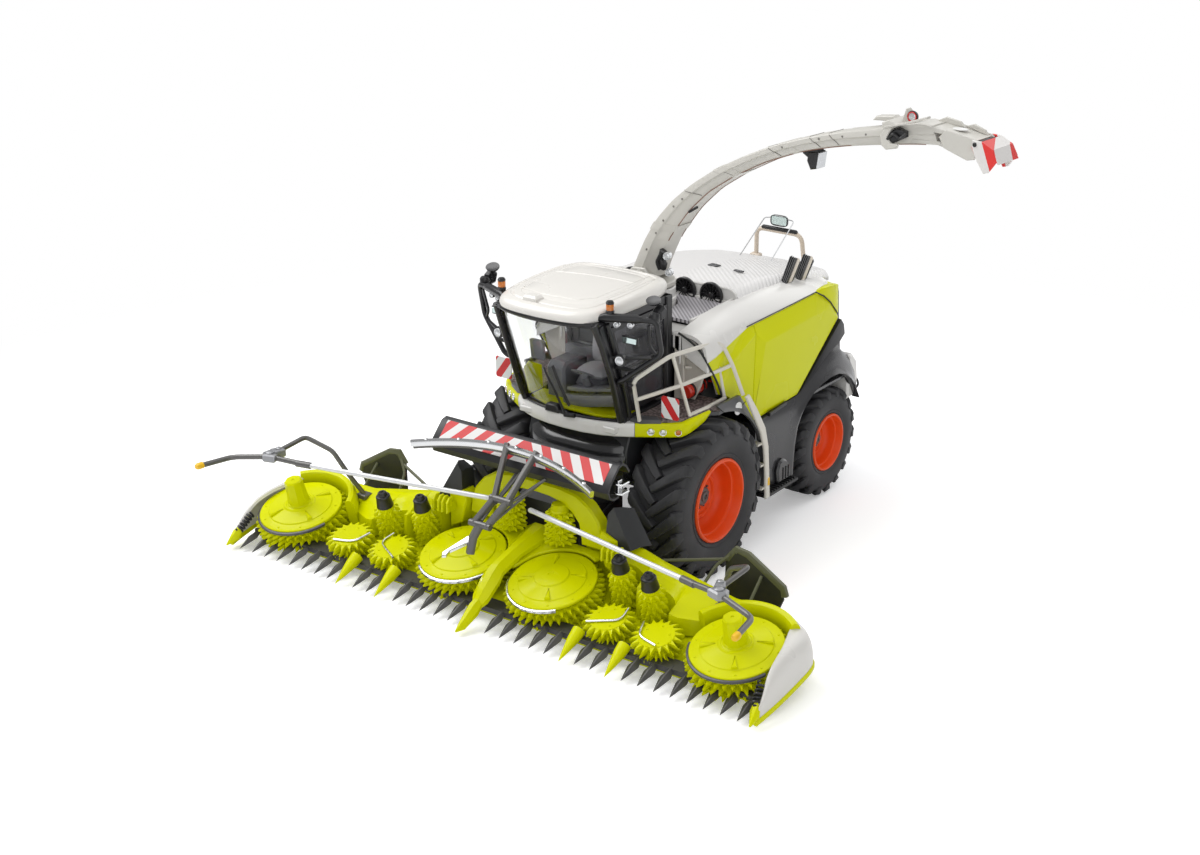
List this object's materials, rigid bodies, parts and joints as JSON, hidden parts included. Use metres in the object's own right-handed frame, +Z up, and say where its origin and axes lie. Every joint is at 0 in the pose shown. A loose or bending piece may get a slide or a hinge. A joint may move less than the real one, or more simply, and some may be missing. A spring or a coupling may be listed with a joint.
{
  "type": "scale model forage harvester",
  "caption": "Scale model of a self-propelled forage harvester with a wide row-independent maize header, a raised side-slewed discharge spout and rolling wheels.",
  "frame": {"origin": "centre of the model's box at floor level, with the discharge spout as stored", "axes": "+X towards the machine's left side and the spout's end, +Y rearward, away from the header, +Z up"},
  "size_m": [0.273, 0.2222, 0.1805],
  "materials": {
    "chassis_black": "satin black moulded plastic",
    "gloss_black": "semi-gloss black moulded plastic",
    "seat_grey": "matt grey moulded plastic",
    "clear_glazing": "clear moulded glazing",
    "warm_grey": "satin warm light grey paint on die-cast metal",
    "lime": "glossy lime green paint on die-cast metal",
    "dark_grey": "satin dark grey paint",
    "platform_brown": "textured grey-brown tread plate",
    "grille_steel": "etched grille",
    "tyre": "matt black soft rubber",
    "rim_orange": "satin orange-red paint",
    "bright_rod": "bright metal rod, dark grey ends"
  },
  "bodies": {
    "machine": {"chassis_frame": "chassis_black", "front_axle": "chassis_black", "rear_axle": "chassis_black", "core_block": "chassis_black", "front_body": "gloss_black", "radiator_box": "chassis_black", "radiator_grille": "grille_steel", "hood": "warm_grey", "rear_cover": "dark_grey", "bumper_band": "warm_grey", "cab_shell": "gloss_black", "cab_roof": "warm_grey", "windscreen": "clear_glazing", "cab_interior": "seat_grey", "handrail": "warm_grey", "ladder": "warm_grey", "spout_hoop": "warm_grey", "lower_body_left": "dark_grey", "platform_left": "platform_brown", "mirror_frame_left": "gloss_black", "lower_body_right": "dark_grey", "platform_right": "platform_brown", "mirror_frame_right": "gloss_black"},
    "front_wheel_left": {"tyre_front_left": "tyre", "rim_front_left": "rim_orange"},
    "front_wheel_right": {"tyre_front_right": "tyre", "rim_front_right": "rim_orange"},
    "knuckle_left": {"knuckle_left": "chassis_black"},
    "knuckle_right": {"knuckle_right": "chassis_black"},
    "rear_wheel_left": {"tyre_rear_left": "tyre", "rim_rear_left": "rim_orange"},
    "rear_wheel_right": {"tyre_rear_right": "tyre", "rim_rear_right": "rim_orange"},
    "spout_turret": {"spout_base": "warm_grey"},
    "spout": {"spout_arm": "warm_grey"},
    "spout_flap": {"spout_flap": "warm_grey"},
    "cab_door": {"cab_door": "gloss_black"},
    "engine_panel_left": {"engine_panel_left": "lime"},
    "engine_panel_right": {"engine_panel_right": "lime"},
    "header": {"feeder_house": "chassis_black", "header_centre": "lime", "guard_board": "gloss_black", "wing_left": "lime", "end_cover_left": "warm_grey", "guide_bar_left": "bright_rod", "wing_right": "lime", "end_cover_right": "warm_grey", "guide_bar_right": "bright_rod"},
    "big_rotor_outer_left": {"big_rotor_outer_left": "lime"},
    "big_rotor_inner_left": {"big_rotor_inner_left": "lime"},
    "small_rotor_outer_left": {"small_rotor_outer_left": "lime"},
    "small_rotor_inner_left": {"small_rotor_inner_left": "lime"},
    "feed_drum_outer_left": {"feed_drum_outer_left": "lime"},
    "feed_drum_inner_left": {"feed_drum_inner_left": "lime"},
    "big_rotor_outer_right": {"big_rotor_outer_right": "lime"},
    "big_rotor_inner_right": {"big_rotor_inner_right": "lime"},
    "small_rotor_outer_right": {"small_rotor_outer_right": "lime"},
    "small_rotor_inner_right": {"small_rotor_inner_right": "lime"},
    "feed_drum_outer_right": {"feed_drum_outer_right": "lime"},
    "feed_drum_inner_right": {"feed_drum_inner_right": "lime"}
  },
  "joints": [
    {"name": "front_wheel_left_spin", "type": "hinge", "parent": "machine", "child": "front_wheel_left", "pos_m": [0.02278, -0.01087, 0.031], "axis": [1, 0, 0], "continuous": true},
    {"name": "front_wheel_right_spin", "type": "hinge", "parent": "machine", "child": "front_wheel_right", "pos_m": [-0.05262, -0.01087, 0.031], "axis": [1, 0, 0], "continuous": true},
    {"name": "rear_steer_left", "type": "hinge", "parent": "machine", "child": "knuckle_left", "pos_m": [0.00608, 0.08133, 0.0234], "axis": [0, 0, 1], "range_deg": [-15, 15]},
    {"name": "rear_steer_right", "type": "hinge", "parent": "machine", "child": "knuckle_right", "pos_m": [-0.03592, 0.08133, 0.0234], "axis": [0, 0, 1], "range_deg": [-15, 15]},
    {"name": "rear_wheel_left_spin", "type": "hinge", "parent": "knuckle_left", "child": "rear_wheel_left", "pos_m": [0.01958, 0.08133, 0.0234], "axis": [1, 0, 0], "continuous": true},
    {"name": "rear_wheel_right_spin", "type": "hinge", "parent": "knuckle_right", "child": "rear_wheel_right", "pos_m": [-0.04942, 0.08133, 0.0234], "axis": [1, 0, 0], "continuous": true},
    {"name": "spout_swing", "type": "hinge", "parent": "machine", "child": "spout_turret", "pos_m": [-0.01492, 0.01313, 0.101], "axis": [0, 0, 1], "range_deg": [-10, 200]},
    {"name": "spout_lift", "type": "hinge", "parent": "spout_turret", "child": "spout", "pos_m": [-0.0209, 0.01365, 0.1064], "axis": [-0.0872, -0.9962, 0], "range_deg": [-25, 5]},
    {"name": "spout_flap_tilt", "type": "hinge", "parent": "spout", "child": "spout_flap", "pos_m": [0.12614, 0.00079, 0.1774], "axis": [-0.0872, -0.9962, 0], "range_deg": [-30, 25]},
    {"name": "cab_door_hinge", "type": "hinge", "parent": "machine", "child": "cab_door", "pos_m": [0.00908, -0.03487, 0.0682], "axis": [0, 0.3353, -0.9421], "range_deg": [0, 25]},
    {"name": "engine_panel_left_hinge", "type": "hinge", "parent": "machine", "child": "engine_panel_left", "pos_m": [0.02728, 0.05513, 0.0913], "axis": [0, -1, 0], "range_deg": [0, 75]},
    {"name": "engine_panel_right_hinge", "type": "hinge", "parent": "machine", "child": "engine_panel_right", "pos_m": [-0.05712, 0.05513, 0.0913], "axis": [0, 1, 0], "range_deg": [0, 75]},
    {"name": "header_lift", "type": "hinge", "parent": "machine", "child": "header", "pos_m": [-0.01492, -0.03087, 0.035], "axis": [-1, 0, 0], "range_deg": [0, 15]},
    {"name": "big_rotor_outer_left_spin", "type": "hinge", "parent": "header", "child": "big_rotor_outer_left", "pos_m": [0.08598, -0.08077, 0.01592], "axis": [0, -0.2487, 0.9686], "continuous": true},
    {"name": "big_rotor_inner_left_spin", "type": "hinge", "parent": "header", "child": "big_rotor_inner_left", "pos_m": [0.00598, -0.07747, 0.01677], "axis": [0, -0.2487, 0.9686], "continuous": true},
    {"name": "small_rotor_outer_left_spin", "type": "hinge", "parent": "header", "child": "small_rotor_outer_left", "pos_m": [0.05618, -0.08477, 0.0127], "axis": [0, -0.2487, 0.9686], "continuous": true},
    {"name": "small_rotor_inner_left_spin", "type": "hinge", "parent": "header", "child": "small_rotor_inner_left", "pos_m": [0.03548, -0.08417, 0.01285], "axis": [0, -0.2487, 0.9686], "continuous": true},
    {"name": "feed_drum_outer_left_spin", "type": "hinge", "parent": "header", "child": "feed_drum_outer_left", "pos_m": [0.04658, -0.07097, 0.00924], "axis": [0, -0.2487, 0.9686], "continuous": true},
    {"name": "feed_drum_inner_left_spin", "type": "hinge", "parent": "header", "child": "feed_drum_inner_left", "pos_m": [0.03118, -0.06707, 0.01024], "axis": [0, -0.2487, 0.9686], "continuous": true},
    {"name": "big_rotor_outer_right_spin", "type": "hinge", "parent": "header", "child": "big_rotor_outer_right", "pos_m": [-0.11582, -0.08077, 0.01592], "axis": [0, -0.2487, 0.9686], "continuous": true},
    {"name": "big_rotor_inner_right_spin", "type": "hinge", "parent": "header", "child": "big_rotor_inner_right", "pos_m": [-0.03582, -0.07747, 0.01677], "axis": [0, -0.2487, 0.9686], "continuous": true},
    {"name": "small_rotor_outer_right_spin", "type": "hinge", "parent": "header", "child": "small_rotor_outer_right", "pos_m": [-0.08602, -0.08477, 0.0127], "axis": [0, -0.2487, 0.9686], "continuous": true},
    {"name": "small_rotor_inner_right_spin", "type": "hinge", "parent": "header", "child": "small_rotor_inner_right", "pos_m": [-0.06532, -0.08417, 0.01285], "axis": [0, -0.2487, 0.9686], "continuous": true},
    {"name": "feed_drum_outer_right_spin", "type": "hinge", "parent": "header", "child": "feed_drum_outer_right", "pos_m": [-0.07642, -0.07097, 0.00924], "axis": [0, -0.2487, 0.9686], "continuous": true},
    {"name": "feed_drum_inner_right_spin", "type": "hinge", "parent": "header", "child": "feed_drum_inner_right", "pos_m": [-0.06102, -0.06707, 0.01024], "axis": [0, -0.2487, 0.9686], "continuous": true}
  ],
  "couplings": [
    {"joint": "rear_steer_right", "follows": "rear_steer_left", "ratio": 1}
  ]
}
